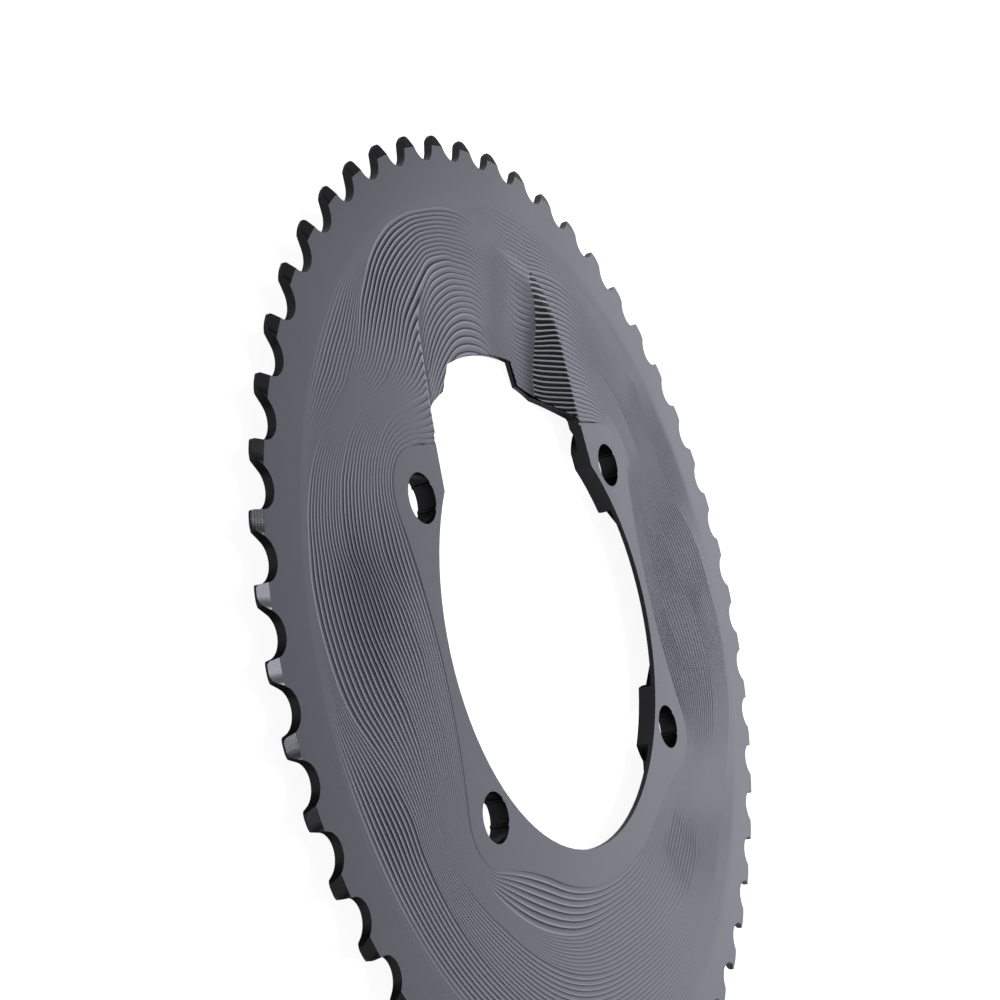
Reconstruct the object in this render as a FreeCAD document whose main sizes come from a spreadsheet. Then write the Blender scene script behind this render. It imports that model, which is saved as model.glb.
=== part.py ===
import FreeCAD, Part
import math
import os

import Sketcher
from FreeCAD import Placement, Rotation, Vector

# One-piece road chainring, milled from plate, in millimetres.
# The flat front face is the plane Z = 0 and looks along +Z.
# The crank axis is the Z axis and the crank arm lies over the recess at +Y.

DRIVING_SIZES = {
    # Teeth for a half inch pitch chain
    "tooth_count": 52,
    "chain_pitch": 12.7,
    "root_arc_radius": 4.05,
    "steep_flank_angle": 78.0,
    "open_flank_angle": 62.0,
    "steep_tip_round": 1.0,
    "open_tip_round": 2.0,
    "tooth_height": 5.6,
    "tooth_phase": 6.27,
    "tooth_plate": 1.9,
    "front_bevel_width": 2.5,
    "front_bevel_depth": 0.9,
    "back_bevel_width": 1.2,
    "back_bevel_depth": 0.55,
    # Four bolts on a circle, two pairs that stand closer at the sides
    "bolt_circle": 110.0,
    "bolt_angle": 35.0,
    "bolt_hole_radius": 5.1,
    "bolt_boss_radius": 10.6,
    "bolt_boss_depth": 4.3,
    "boss_ear_reach": 16.9,
    "bolt_key_radius": 0.5,
    "bolt_key_reach": 0.3,
    "bolt_key_angle": 29.0,
    # Bore of the ring and the thin lip round it
    "bore_inset": 7.0,
    "lip_thickness": 1.15,
    "lip_width": 3.0,
    "lip_blend": 3.0,
    # Web and the stiffening rib behind it
    "web_thickness": 3.0,
    "body_depth": 7.0,
    "rib_outer_radius": 91.0,
    "rib_width": 5.5,
    "rib_outer_draft": 4.5,
    "rib_inner_draft": 2.0,
    # Crank arm recess: a floor that dips to the bore between two flared walls
    "recess_top": 82.4,
    "recess_mouth": 44.0,
    "recess_floor_slope": 0.187,
    "recess_floor_half": 24.3,
    "recess_lip_half": 35.2,
    "recess_corner_radius": 21.4,
    "tray_thickness": 0.95,
    # Mouth of the bore under the crank arm
    "mouth_depth": 7.5,
    "mouth_wall": 3.55,
    "mouth_flare": 1.7,
    "jamb_thickness": 2.4,
    "notch_depth": 4.5,
    "notch_half_width": 17.4,
    "notch_end_half": 14.6,
    # Smooth pads round the bolts, with the milled field lying lower
    "pad_radius": 10.2,
    "pad_waist_radius": 124.0,
    "pad_foot_radius": 55.8,
    "pad_foot_blend": 80.0,
    "field_radius": 94.5,
    "field_depth": 0.35,
}

NODE = "chainring"
SHEET = "Sizes"
CUT_MARGIN = 1.0
RECESS_CORNER_STEPS = 9
FLOOR_TAPER = 0.6
TRAY_STATIONS = 6
QUADRANTS = ((1, 1), (-1, 1), (-1, -1), (1, -1))


class Size:
    """A length with its present number and the sheet expression behind it."""

    def __init__(self, number, text):
        self.number = number
        self.text = text

    def _join(self, other, sign, result):
        return Size(result, f"({self.text} {sign} {as_size(other).text})")

    def __add__(self, other):
        return self._join(other, "+", self.number + as_size(other).number)

    def __sub__(self, other):
        return self._join(other, "-", self.number - as_size(other).number)

    def __mul__(self, other):
        return self._join(other, "*", self.number * as_size(other).number)

    def __truediv__(self, other):
        return self._join(other, "/", self.number / as_size(other).number)

    def __neg__(self):
        return self * -1


def as_size(value):
    return value if isinstance(value, Size) else Size(float(value), f"({value})")


def cos_deg(angle):
    return Size(math.cos(math.radians(angle.number)), f"cos({angle.text} * 1 deg)")


def sin_deg(angle):
    return Size(math.sin(math.radians(angle.number)), f"sin({angle.text} * 1 deg)")


def make_sheet(doc):
    """Write the driving sizes to the spreadsheet and return them by name."""
    sheet = doc.addObject("Spreadsheet::Sheet", SHEET)
    sizes = {}
    for row, (alias, value) in enumerate(DRIVING_SIZES.items(), start=1):
        sheet.set(f"A{row}", alias.replace("_", " "))
        sheet.set(f"B{row}", str(value))
        sheet.setAlias(f"B{row}", alias)
        sizes[alias] = Size(float(value), f"{SHEET}.{alias}")
    doc.recompute()
    return sizes


def origin_plane(body, role):
    return next(item for item in body.Origin.OriginFeatures if item.Role == role)


def new_sketch(body, name, role="XY_Plane", offset=None, turn=None):
    """Attach an empty sketch to an origin plane, shifted along or turned about its normal."""
    sketch = body.newObject("Sketcher::SketchObject", name)
    sketch.AttachmentSupport = (origin_plane(body, role), "")
    sketch.MapMode = "FlatFace"
    if turn is not None:
        sketch.AttachmentOffset = Placement(Vector(), Rotation(Vector(0, 0, 1), turn.number))
        sketch.setExpression(".AttachmentOffset.Rotation.Angle", f"{turn.text} * 1 deg")
    if offset is not None:
        sketch.AttachmentOffset = Placement(Vector(0, 0, offset.number), Rotation())
        sketch.setExpression(".AttachmentOffset.Base.z", offset.text)
    return sketch


def bind(sketch, kind, *references, size):
    """Add a dimension to the sketch and tie it to the sheet."""
    index = sketch.addConstraint(Sketcher.Constraint(kind, *references, size.number))
    sketch.setExpression(f"Constraints[{index}]", size.text)


def pin_point(sketch, geometry, vertex, x, y):
    """Hold a point at x, y from the origin; a zero puts it on the axis."""
    for kind, axis, value in (("DistanceX", -2, x), ("DistanceY", -1, y)):
        if isinstance(value, Size):
            bind(sketch, kind, -1, 1, geometry, vertex, size=value)
        else:
            sketch.addConstraint(Sketcher.Constraint("PointOnObject", geometry, vertex, axis))


def add_circle(sketch, x, y, radius):
    center = Vector(as_size(x).number, as_size(y).number, 0)
    circle = sketch.addGeometry(Part.Circle(center, Vector(0, 0, 1), radius.number))
    pin_point(sketch, circle, 3, x, y)
    bind(sketch, "Radius", circle, size=radius)


def add_polygon(sketch, corners):
    """Close a loop of lines through corners that are each pinned to the sheet."""
    points = [Vector(as_size(x).number, as_size(y).number, 0) for x, y in corners]
    edges = []
    for start, end in zip(points, points[1:] + points[:1]):
        edges.append(sketch.addGeometry(Part.LineSegment(start, end)))
    for edge, following in zip(edges, edges[1:] + edges[:1]):
        sketch.addConstraint(Sketcher.Constraint("Coincident", edge, 2, following, 1))
    for edge, (x, y) in zip(edges, corners):
        pin_point(sketch, edge, 1, x, y)


def add_sector(sketch, corners, radius):
    """Close a loop of lines whose last and first corners are joined by an arc about the axis.

    The first and last corners lie on the arc, so only their X is given.
    """
    def height_on_arc(x):
        return math.sqrt(radius.number ** 2 - x.number ** 2)

    points = [Vector(x.number, height_on_arc(x) if y is None else y.number, 0) for x, y in corners]
    lines = []
    for start, end in zip(points, points[1:]):
        lines.append(sketch.addGeometry(Part.LineSegment(start, end)))
    for line, following in zip(lines, lines[1:]):
        sketch.addConstraint(Sketcher.Constraint("Coincident", line, 2, following, 1))
    circle = Part.Circle(Vector(), Vector(0, 0, 1), radius.number)
    first, last = (math.atan2(p.y, p.x) for p in (points[0], points[-1]))
    arc = sketch.addGeometry(Part.ArcOfCircle(circle, first, last))
    sketch.addConstraint(Sketcher.Constraint("Coincident", arc, 3, -1, 1))
    sketch.addConstraint(Sketcher.Constraint("Coincident", arc, 1, lines[0], 1))
    sketch.addConstraint(Sketcher.Constraint("Coincident", arc, 2, lines[-1], 2))
    bind(sketch, "Radius", arc, size=radius)
    for line, (x, y) in zip(lines, corners):
        bind(sketch, "DistanceX", -1, 1, line, 1, size=x)
        if y is not None:
            bind(sketch, "DistanceY", -1, 1, line, 1, size=y)
    bind(sketch, "DistanceX", -1, 1, lines[-1], 2, size=corners[-1][0])


def origin_axis(body, role):
    return next(item for item in body.Origin.OriginFeatures if item.Role == role)


def cut(doc, body, name, sketch, depth=None):
    """Pocket from the sketch towards -Z, through everything unless a depth is given."""
    volume = body.Shape.Volume
    pocket = body.newObject("PartDesign::Pocket", name)
    pocket.Profile = sketch
    if depth is None:
        pocket.Type = "ThroughAll"
        pocket.Midplane = True
    else:
        pocket.Length = depth.number
        pocket.setExpression("Length", depth.text)
    doc.recompute()
    if not body.Shape.Volume < volume - 1e-3:
        raise RuntimeError(f"{name} removes nothing")
    return pocket


def raise_pad(doc, body, name, sketch, depth):
    """Pad from the front plane down to the given depth."""
    pad = body.newObject("PartDesign::Pad", name)
    pad.Profile = sketch
    pad.Reversed = True
    pad.Length = depth.number
    pad.setExpression("Length", depth.text)
    doc.recompute()
    return pad


def pitch_radius(s):
    half_pitch_angle = as_size(180) / s["tooth_count"]
    return s["chain_pitch"] / (sin_deg(half_pitch_angle) * 2)


def root_radius(s):
    return pitch_radius(s) - s["root_arc_radius"]


def tip_radius(s):
    return root_radius(s) + s["tooth_height"]


def bore_radius(s):
    return s["bolt_circle"] / 2 - s["bore_inset"]


def mouth_radius(s):
    return bore_radius(s) + s["mouth_depth"]


def mouth_half(s):
    """Half width of the mouth at its root, which leaves a wall beside the bolt holes."""
    return bolt_reach(s)[0] - s["bolt_hole_radius"] - s["mouth_wall"]


def bolt_reach(s):
    """Distance of a bolt from the crank axis, along X and along Y."""
    radius = s["bolt_circle"] / 2
    return radius * cos_deg(s["bolt_angle"]), radius * sin_deg(s["bolt_angle"])


def turn_blank(doc, body, s):
    """Turn the disc with bevelled tip, tooth plate, rib, web and lip in one section."""
    tip = tip_radius(s)
    back = -s["body_depth"]
    lip_outer = bore_radius(s) + s["lip_width"]
    rib_inner = s["rib_outer_radius"] - s["rib_width"]
    section = [
        (0, 0),
        (tip - s["front_bevel_width"], 0),
        (tip, -s["front_bevel_depth"]),
        (tip, s["back_bevel_depth"] - s["tooth_plate"]),
        (tip - s["back_bevel_width"], -s["tooth_plate"]),
        (s["rib_outer_radius"] + s["rib_outer_draft"], -s["tooth_plate"]),
        (s["rib_outer_radius"], back),
        (rib_inner, back),
        (rib_inner - s["rib_inner_draft"], -s["web_thickness"]),
        (lip_outer + s["lip_blend"], -s["web_thickness"]),
        (lip_outer, -s["lip_thickness"]),
        (0, -s["lip_thickness"]),
    ]
    sketch = new_sketch(body, "RingSection", "XZ_Plane")
    add_polygon(sketch, section)
    blank = body.newObject("PartDesign::Revolution", "RingBlank")
    blank.Profile = sketch
    blank.ReferenceAxis = (sketch, ["V_Axis"])
    blank.Angle = 360
    doc.recompute()


def add_bolt_bosses(doc, body, s):
    """Thicken the lip round each bolt, with ears that run from the boss into the web."""
    reach_x, reach_y = bolt_reach(s)
    rounds = new_sketch(body, "BossRounds")
    for side_x, side_y in QUADRANTS:
        add_circle(rounds, reach_x * side_x, reach_y * side_y, s["bolt_boss_radius"])
    raise_pad(doc, body, "BossRoundPads", rounds, s["bolt_boss_depth"])

    bolt_radius = s["bolt_circle"] / 2
    boss = s["bolt_boss_radius"]
    along, across = cos_deg(s["bolt_angle"]), sin_deg(s["bolt_angle"])
    ear = [
        (bolt_radius - boss * 0.37, boss * 0.92),
        (bolt_radius - boss * 0.2, s["boss_ear_reach"]),
        (bolt_radius + boss * 0.2, s["boss_ear_reach"]),
        (bolt_radius + boss * 0.5, boss * 0.8),
    ]
    ears = new_sketch(body, "BossEars")
    for side_x, side_y in QUADRANTS:
        for swing in (-1,) if side_y > 0 else (-1, 1):
            corners = []
            for out, sideways in ear:
                x = out * along - sideways * across * swing
                y = out * across + sideways * along * swing
                corners.append((x * side_x, y * side_y))
            add_polygon(ears, corners)
    raise_pad(doc, body, "BossEarPads", ears, s["bolt_boss_depth"])


def add_mouth_jambs(doc, body, s):
    """Thicken the lip between the upper bosses and the recess, where the mouth is cut."""
    reach_x, reach_y = bolt_reach(s)
    jambs = new_sketch(body, "MouthJambs")
    inner = mouth_half(s) - s["mouth_flare"] - CUT_MARGIN
    for side in (1, -1):
        add_polygon(jambs, [
            (inner * side, reach_y),
            (reach_x * side, reach_y),
            (reach_x * side, s["recess_mouth"] + CUT_MARGIN),
            (inner * side, s["recess_mouth"] + CUT_MARGIN),
        ])
    raise_pad(doc, body, "MouthJambPads", jambs, s["jamb_thickness"])


def recess_stations(s):
    """Distance from the axis and half width of the recess lip: the mouth, then the round corner."""
    corner = s["recess_corner_radius"]
    stations = [(s["recess_mouth"], s["recess_lip_half"])]
    for step in range(RECESS_CORNER_STEPS + 1):
        turn = as_size(90 * step / RECESS_CORNER_STEPS)
        station = s["recess_top"] - corner + corner * sin_deg(turn)
        stations.append((station, s["recess_lip_half"] - corner + corner * cos_deg(turn)))
    return stations


def floor_height(s, station):
    return (station - s["recess_top"]) * s["recess_floor_slope"]


def loft_sections(doc, body, kind, name, sections):
    """Loft straight between sections that stand across the recess."""
    sketches = []
    for number, (station, outline) in enumerate(sections, start=1):
        sketch = new_sketch(body, f"{name}Section{number}", "XZ_Plane", offset=-station)
        add_polygon(sketch, outline)
        sketches.append(sketch)
    doc.recompute()
    loft = body.newObject(f"PartDesign::{kind}", name)
    loft.Profile = sketches[0]
    loft.Sections = sketches[1:]
    loft.Ruled = True
    doc.recompute()


def mirrored_outline(right_side):
    """Add the left half of a section that is symmetric about the Y axis."""
    return right_side + [(-x, y) for x, y in reversed(right_side)]


def add_recess_tray(doc, body, s):
    """The sheet of metal under the recess, which hangs below the web near the bore."""
    sections = []
    wall = s["tray_thickness"]
    for station, lip_half in recess_stations(s)[:TRAY_STATIONS]:
        outline = mirrored_outline([
            (lip_half + wall * 2, -s["lip_thickness"] / 2),
            (lip_half + wall * 2, -wall * 1.2),
            (s["recess_floor_half"] + wall, floor_height(s, station) - wall),
        ])
        sections.append((station, outline))
    loft_sections(doc, body, "AdditiveLoft", "RecessTray", sections)


def cut_recess(doc, body, s):
    """Mill the recess down from the front face: sloping floor, flared walls."""
    sections = []
    above = as_size(CUT_MARGIN)
    for station, lip_half in recess_stations(s):
        floor_half = s["recess_floor_half"] - (s["recess_lip_half"] - lip_half) * FLOOR_TAPER
        outline = mirrored_outline([
            (lip_half, above),
            (lip_half, above / 100),
            (floor_half, floor_height(s, station)),
        ])
        sections.append((station, outline))
    loft_sections(doc, body, "SubtractiveLoft", "ArmRecess", sections)


def cut_bore(doc, body, s):
    """Open the round bore, the wider mouth under the crank arm and the notch in its edge."""
    bore = new_sketch(body, "BoreCircle")
    add_circle(bore, 0, 0, bore_radius(s))
    cut(doc, body, "Bore", bore)

    mouth_root = bore_radius(s) / 2
    half = mouth_half(s)
    narrow_half = half - s["mouth_flare"]
    mouth = new_sketch(body, "MouthOutline")
    add_sector(mouth, [
        (narrow_half, None),
        (half, mouth_root),
        (-half, mouth_root),
        (-narrow_half, None),
    ], mouth_radius(s))
    cut(doc, body, "ArmMouth", mouth)

    notch = new_sketch(body, "NotchOutline")
    notch_shoulder = mouth_radius(s) - s["notch_depth"] * 0.6
    add_sector(notch, [
        (s["notch_end_half"], None),
        (s["notch_half_width"], notch_shoulder),
        (s["notch_half_width"], mouth_root),
        (-s["notch_half_width"], mouth_root),
        (-s["notch_half_width"], notch_shoulder),
        (-s["notch_end_half"], None),
    ], mouth_radius(s) + s["notch_depth"])
    cut(doc, body, "ArmNotch", notch)


def add_arc(sketch, center, radius, start, end, flip=False):
    """Add a counter-clockwise arc between two directions, or its mirror image across X = 0."""
    angles = [math.atan2(direction.y, direction.x) for direction in (start, end)]
    if flip:
        angles = [math.pi - angle for angle in reversed(angles)]
        center = Vector(-center.x, center.y, 0)
    circle = Part.Circle(center, Vector(0, 0, 1), radius)
    return sketch.addGeometry(Part.ArcOfCircle(circle, angles[0], angles[1]))


def join_smooth(sketch, first, first_end, second, second_end):
    sketch.addConstraint(Sketcher.Constraint("Tangent", first, first_end, second, second_end))


def trace_pads(sketch, s):
    """Outline of the pads: arcs about the bolts, waists at the sides and a wide foot below."""
    reach_x, reach_y = bolt_reach(s)
    pad, waist = s["pad_radius"].number, s["pad_waist_radius"].number
    foot, blend = s["pad_foot_radius"].number, s["pad_foot_blend"].number
    upper = Vector(reach_x.number, reach_y.number, 0)
    lower = Vector(reach_x.number, -reach_y.number, 0)
    waist_center = Vector(upper.x + math.sqrt((waist + pad) ** 2 - upper.y ** 2), 0, 0)
    reach = foot + blend
    fold = math.acos((reach ** 2 + lower.Length ** 2 - (pad + blend) ** 2) / (2 * reach * lower.Length))
    blend_angle = math.atan2(lower.y, lower.x) - fold
    blend_center = Vector(math.cos(blend_angle), math.sin(blend_angle), 0) * reach

    foot_way = Vector(blend_center)
    foot_arc = add_arc(sketch, Vector(), foot, Vector(-foot_way.x, foot_way.y, 0), foot_way)
    sketch.addConstraint(Sketcher.Constraint("Coincident", foot_arc, 3, -1, 1))
    bind(sketch, "Radius", foot_arc, size=s["pad_foot_radius"])
    top_y = upper.y + pad
    top_line = sketch.addGeometry(Part.LineSegment(Vector(upper.x, top_y, 0), Vector(-upper.x, top_y, 0)))

    for side, flip, near, far in ((1, False, 1, 2), (-1, True, 2, 1)):
        upper_arc = add_arc(sketch, upper, pad, waist_center - upper, Vector(0, 1, 0), flip)
        waist_arc = add_arc(sketch, waist_center, waist, upper - waist_center, lower - waist_center, flip)
        lower_arc = add_arc(sketch, lower, pad, blend_center - lower, waist_center - lower, flip)
        blend_arc = add_arc(sketch, blend_center, blend, lower - blend_center, -blend_center, flip)
        join_smooth(sketch, upper_arc, far, top_line, near)
        join_smooth(sketch, waist_arc, near, upper_arc, near)
        join_smooth(sketch, waist_arc, far, lower_arc, far)
        join_smooth(sketch, blend_arc, near, lower_arc, near)
        join_smooth(sketch, blend_arc, far, foot_arc, far)
        pin_point(sketch, upper_arc, 3, reach_x * side, reach_y)
        pin_point(sketch, lower_arc, 3, reach_x * side, -reach_y)
        bind(sketch, "Radius", upper_arc, size=s["pad_radius"])
        bind(sketch, "Radius", lower_arc, size=s["pad_radius"])
        bind(sketch, "Radius", waist_arc, size=s["pad_waist_radius"])
        bind(sketch, "Radius", blend_arc, size=s["pad_foot_blend"])


def lower_field(doc, body, s):
    """Mill the face between the pads and the rim a little lower than both."""
    sketch = new_sketch(body, "FieldOutline")
    add_circle(sketch, 0, 0, s["field_radius"])
    trace_pads(sketch, s)
    cut(doc, body, "MilledField", sketch, s["field_depth"])


def drill_bolt_holes(doc, body, s):
    """Bore the four holes, then leave two small key ridges on the same side of each."""
    reach_x, reach_y = bolt_reach(s)
    holes = new_sketch(body, "BoltCircles")
    for side_x, side_y in QUADRANTS:
        add_circle(holes, reach_x * side_x, reach_y * side_y, s["bolt_hole_radius"])
    cut(doc, body, "BoltHoles", holes)

    key_orbit = s["bolt_hole_radius"] + s["bolt_key_radius"] - s["bolt_key_reach"]
    key_x = key_orbit * cos_deg(s["bolt_key_angle"])
    key_y = key_orbit * sin_deg(s["bolt_key_angle"])
    keys = new_sketch(body, "KeyCircles")
    for side_x, side_y in QUADRANTS:
        for key_side in (1, -1):
            add_circle(keys, reach_x * side_x + key_x, reach_y * side_y + key_y * key_side, s["bolt_key_radius"])
    raise_pad(doc, body, "BoltKeys", keys, s["bolt_boss_depth"])


def cut_teeth(doc, body, s):
    """Cut one gap: a roller seat, a steep and an open flank with rounded tips, repeated round the rim."""
    pitch, seat = pitch_radius(s), s["root_arc_radius"]
    outside = tip_radius(s) + CUT_MARGIN
    center = Vector(pitch.number, 0, 0)
    flanks = (
        (1, s["steep_flank_angle"], s["steep_tip_round"]),
        (-1, s["open_flank_angle"], s["open_tip_round"]),
    )

    gap = new_sketch(body, "ToothGap", turn=s["tooth_phase"])
    leans = []
    for side, swing, _ in flanks:
        angle = math.radians(swing.number)
        leans.append(Vector(-math.cos(angle), math.sin(angle) * side, 0))
    seat_arc = add_arc(gap, center, seat.number, *leans)
    pin_point(gap, seat_arc, 3, pitch, 0)
    bind(gap, "Radius", seat_arc, size=seat)

    corners = []
    for (side, swing, tip_round), lean in zip(flanks, leans):
        vertex = 1 if side > 0 else 2
        tip_orbit = tip_radius(s) - tip_round
        flank_way = Vector(-lean.y, lean.x, 0) * -side
        root = center + lean * seat.number
        offset = root + lean * tip_round.number
        along = offset.dot(flank_way)
        length = math.sqrt(along ** 2 - offset.Length ** 2 + tip_orbit.number ** 2) - along
        tip_center = offset + flank_way * length
        tip_end = tip_center * (tip_radius(s).number / tip_orbit.number)
        corner = tip_end * (outside.number / tip_end.x)

        flank = gap.addGeometry(Part.LineSegment(root, root + flank_way * length))
        if side > 0:
            tip_arc = add_arc(gap, tip_center, tip_round.number, -lean, tip_center)
            foot, head = 1, 2
        else:
            tip_arc = add_arc(gap, tip_center, tip_round.number, tip_center, -lean)
            foot, head = 2, 1
        spoke = gap.addGeometry(Part.LineSegment(tip_end, corner))
        join_smooth(gap, seat_arc, vertex, flank, 1)
        join_smooth(gap, tip_arc, foot, flank, 2)
        gap.addConstraint(Sketcher.Constraint("Coincident", spoke, 1, tip_arc, head))
        gap.addConstraint(Sketcher.Constraint("PointOnObject", -1, 1, spoke))
        gap.addConstraint(Sketcher.Constraint("PointOnObject", tip_arc, 3, spoke))
        bind(gap, "DistanceY", -1, 1, seat_arc, vertex, size=seat * sin_deg(swing) * side)
        bind(gap, "Radius", tip_arc, size=tip_round)
        bind(gap, "Distance", -1, 1, tip_arc, 3, size=tip_orbit)
        bind(gap, "DistanceX", -1, 1, spoke, 2, size=outside)
        corners.append((spoke, corner))
    closing = gap.addGeometry(Part.LineSegment(corners[0][1], corners[1][1]))
    for vertex, (spoke, _) in zip((1, 2), corners):
        gap.addConstraint(Sketcher.Constraint("Coincident", closing, vertex, spoke, 2))
    pocket = cut(doc, body, "ToothGapCut", gap)

    pattern = body.newObject("PartDesign::PolarPattern", "TeethPattern")
    pattern.Originals = [pocket]
    pattern.Axis = (origin_axis(body, "Z_Axis"), [""])
    pattern.Angle = 360
    pattern.Occurrences = int(s["tooth_count"].number)
    pattern.setExpression("Occurrences", s["tooth_count"].text)
    body.Tip = pattern
    doc.recompute()


def build_chainring(doc, s):
    body = doc.addObject("PartDesign::Body", "Chainring")
    body.Label = NODE
    doc.recompute()
    turn_blank(doc, body, s)
    add_bolt_bosses(doc, body, s)
    add_mouth_jambs(doc, body, s)
    add_recess_tray(doc, body, s)
    cut_recess(doc, body, s)
    cut_bore(doc, body, s)
    lower_field(doc, body, s)
    drill_bolt_holes(doc, body, s)
    cut_teeth(doc, body, s)
    return body


def check_document(doc, body):
    """Stop unless every object recomputed and the ring is one valid solid."""
    for item in doc.Objects:
        if "Invalid" in item.State or "Error" in item.State:
            raise RuntimeError(f"{item.Name} failed: {item.State}")
    shape = body.Shape
    if shape.isNull() or not shape.isValid() or len(shape.Solids) != 1:
        raise RuntimeError("the ring is not one valid solid")


def main():
    doc = FreeCAD.newDocument("Chainring")
    body = build_chainring(doc, make_sheet(doc))
    check_document(doc, body)
    os.makedirs("parts", exist_ok=True)
    body.Shape.exportStep(f"parts/{NODE}.step")
    print(f"{NODE}: volume {body.Shape.Volume:.1f} mm3, box {body.Shape.BoundBox}")


main()
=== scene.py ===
import math

import bmesh
import bpy
import numpy as np
from mathutils import Matrix, Vector


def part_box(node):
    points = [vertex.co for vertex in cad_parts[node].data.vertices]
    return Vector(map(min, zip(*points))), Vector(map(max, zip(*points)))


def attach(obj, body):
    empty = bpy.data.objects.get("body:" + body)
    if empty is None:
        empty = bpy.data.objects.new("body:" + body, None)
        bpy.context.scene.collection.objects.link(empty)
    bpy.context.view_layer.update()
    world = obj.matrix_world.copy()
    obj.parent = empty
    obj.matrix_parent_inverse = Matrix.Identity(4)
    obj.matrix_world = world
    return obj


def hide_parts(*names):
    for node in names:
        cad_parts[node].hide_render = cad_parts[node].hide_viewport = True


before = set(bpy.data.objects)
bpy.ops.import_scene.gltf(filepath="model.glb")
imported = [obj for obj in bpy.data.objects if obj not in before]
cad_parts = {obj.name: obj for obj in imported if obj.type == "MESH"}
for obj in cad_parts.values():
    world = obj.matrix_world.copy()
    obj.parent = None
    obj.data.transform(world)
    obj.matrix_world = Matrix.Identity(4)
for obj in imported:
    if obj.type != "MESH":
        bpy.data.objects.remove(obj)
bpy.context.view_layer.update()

MM = 0.001
TINY = 1e-6

# Camera, worked out from the tooth roots, bolt holes and bore in the photograph
CAMERA_PLACE_MM = (-357.7, 21.55, 175.9)
CAMERA_RIGHT = (0.44678, -0.22470, 0.86596)
CAMERA_UP = (0.11554, 0.97433, 0.19321)
FOCAL_LENGTH_PX = 1866.9
IMAGE_SIZE_PX = 1000.0
CENTRE_DROP_PX = 60.0
SENSOR_WIDTH_MM = 36.0
CLIP_START = 0.01

# Light and floor. Each light has a place, a width and depth in metres, and a power in watts.
LIGHT_TINT = (0.92, 0.935, 1.0)
LIGHTS = {
    "overhead": ((0.21, 0.05, 1.1), (0.34, 0.7), 4.5),
    "right_card": ((0.85, -0.1, 0.35), (0.9, 0.5), 3.5),
}
WORLD_LIGHT = 0.12
FLOOR_REACH = 6.0
FLOOR_WHITE = (0.85, 0.85, 0.85, 1)
FLOOR_GLOW = 0.93

# Forms of the solid that the milled skin has to meet, in millimetres
MOUTH_RADIUS = 55.5
MOUTH_HALF = 34.7
NOTCH_RADIUS = 60.0
NOTCH_HALF = 14.6
NOTCH_ROOT_HALF = 17.4
BOLT_CIRCLE_RADIUS = 55.0
BOLT_ANGLE_DEG = 35.0
PAD_RADIUS = 10.2
PAD_WAIST_RADIUS = 124.0
PAD_FOOT_RADIUS = 55.8
PAD_FOOT_BLEND = 80.0
PAD_TOP_OVERRUN = 0.2
PAD_TOP_STEPS = 20
ARC_STEPS = 40
FIELD_RADIUS = 94.5
RECESS_TOP = 82.4
RECESS_CORNER = 21.4
RECESS_CORNER_STEPS = 9
RECESS_LIP_HALF = 35.2
RECESS_FLOOR_HALF = 24.3
RECESS_SLOPE = 0.187
FLOOR_TAPER = 0.6

# How the recess is softened. Each pair is a place along Y in millimetres and the value there.
LEFT_WALL_NARROWING = ((44, 0.04), (50, 0.10), (60, 0.24), (70, 0.30), (82.4, 0.30))
WALL_FOOT_BLEND = 0.35
TOP_BLEND = 0.9
TOP_BLEND_START = 66.0
TOP_BLEND_LENGTH = 10.0

# Painted reflection stripes on the right wall, with their foot as places along Y and X, and the painted
# highlight line on the left lip
STRIPE_FOOT = ((44, 24.3), (55, 24.3), (60, 25.5), (65, 27.0), (70, 26.8), (75, 25.5), (77.5, 26.5))
STRIPE_LIP_GAP = 0.1
LIP_LINE_DEPTH = 0.34
LIP_LINE_WIDTH = 0.13
LIP_LINE_TOP = 70.0
LIP_LINE_FADE = 8.0

# Lines the cutter followed round the ring, each held by its points in millimetres.
# The flutes are spread evenly between one line and the next.
LINE_OVER_MOUTH = [
    (46, 41.74), (44, 41.8), (40, 42.2), (36, 42.4), (30, 43.5), (24, 45.5), (18, 48.5), (12, 52),
    (6, 55.5), (0, 57), (-8, 57), (-14, 54), (-19, 50), (-23, 46), (-27, 43), (-32, 41.5), (-37, 41.6),
    (-41, 42), (-44, 41.8), (-46, 41.74), (-60, 0), (0, -60), (60, 0),
]
LINE_ABOVE_PADS = [
    (-59, -32), (-57.8, -20), (-57.3, -10), (-58, 0), (-59.8, 10), (-61.3, 14.5), (-63, 19.5),
    (-63.75, 24), (-63.5, 28), (-62.3, 34), (-60, 39), (-56, 43.6), (-49.5, 48), (-44.5, 49.5),
    (-39.5, 50.7), (-34.5, 52), (-24, 56.5), (-20, 61), (-16, 64.8), (-11, 67.6), (-7, 68.5), (-2, 68.2),
    (2, 67), (5, 65.3), (8, 63), (11, 60.2), (14, 57.6), (17, 55.7), (21, 54), (25, 52.6), (34.4, 50.6),
    (40, 49.8), (45, 48.3), (50, 45.5), (54, 41), (57, 35.5), (58.5, 30), (58.2, 24), (57.5, 15),
    (57.6, 7), (58.6, -2), (60.5, -11.1), (62.4, -17.8), (63.3, -22.8), (62.7, -28.9), (60, -36),
    (54, -43), (48, -46), (42, -47.8), (36.75, -50), (31.75, -53.5), (27.4, -57), (18, -61), (0, -63),
    (-25, -61), (-45, -51), (-55, -41),
]
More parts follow.
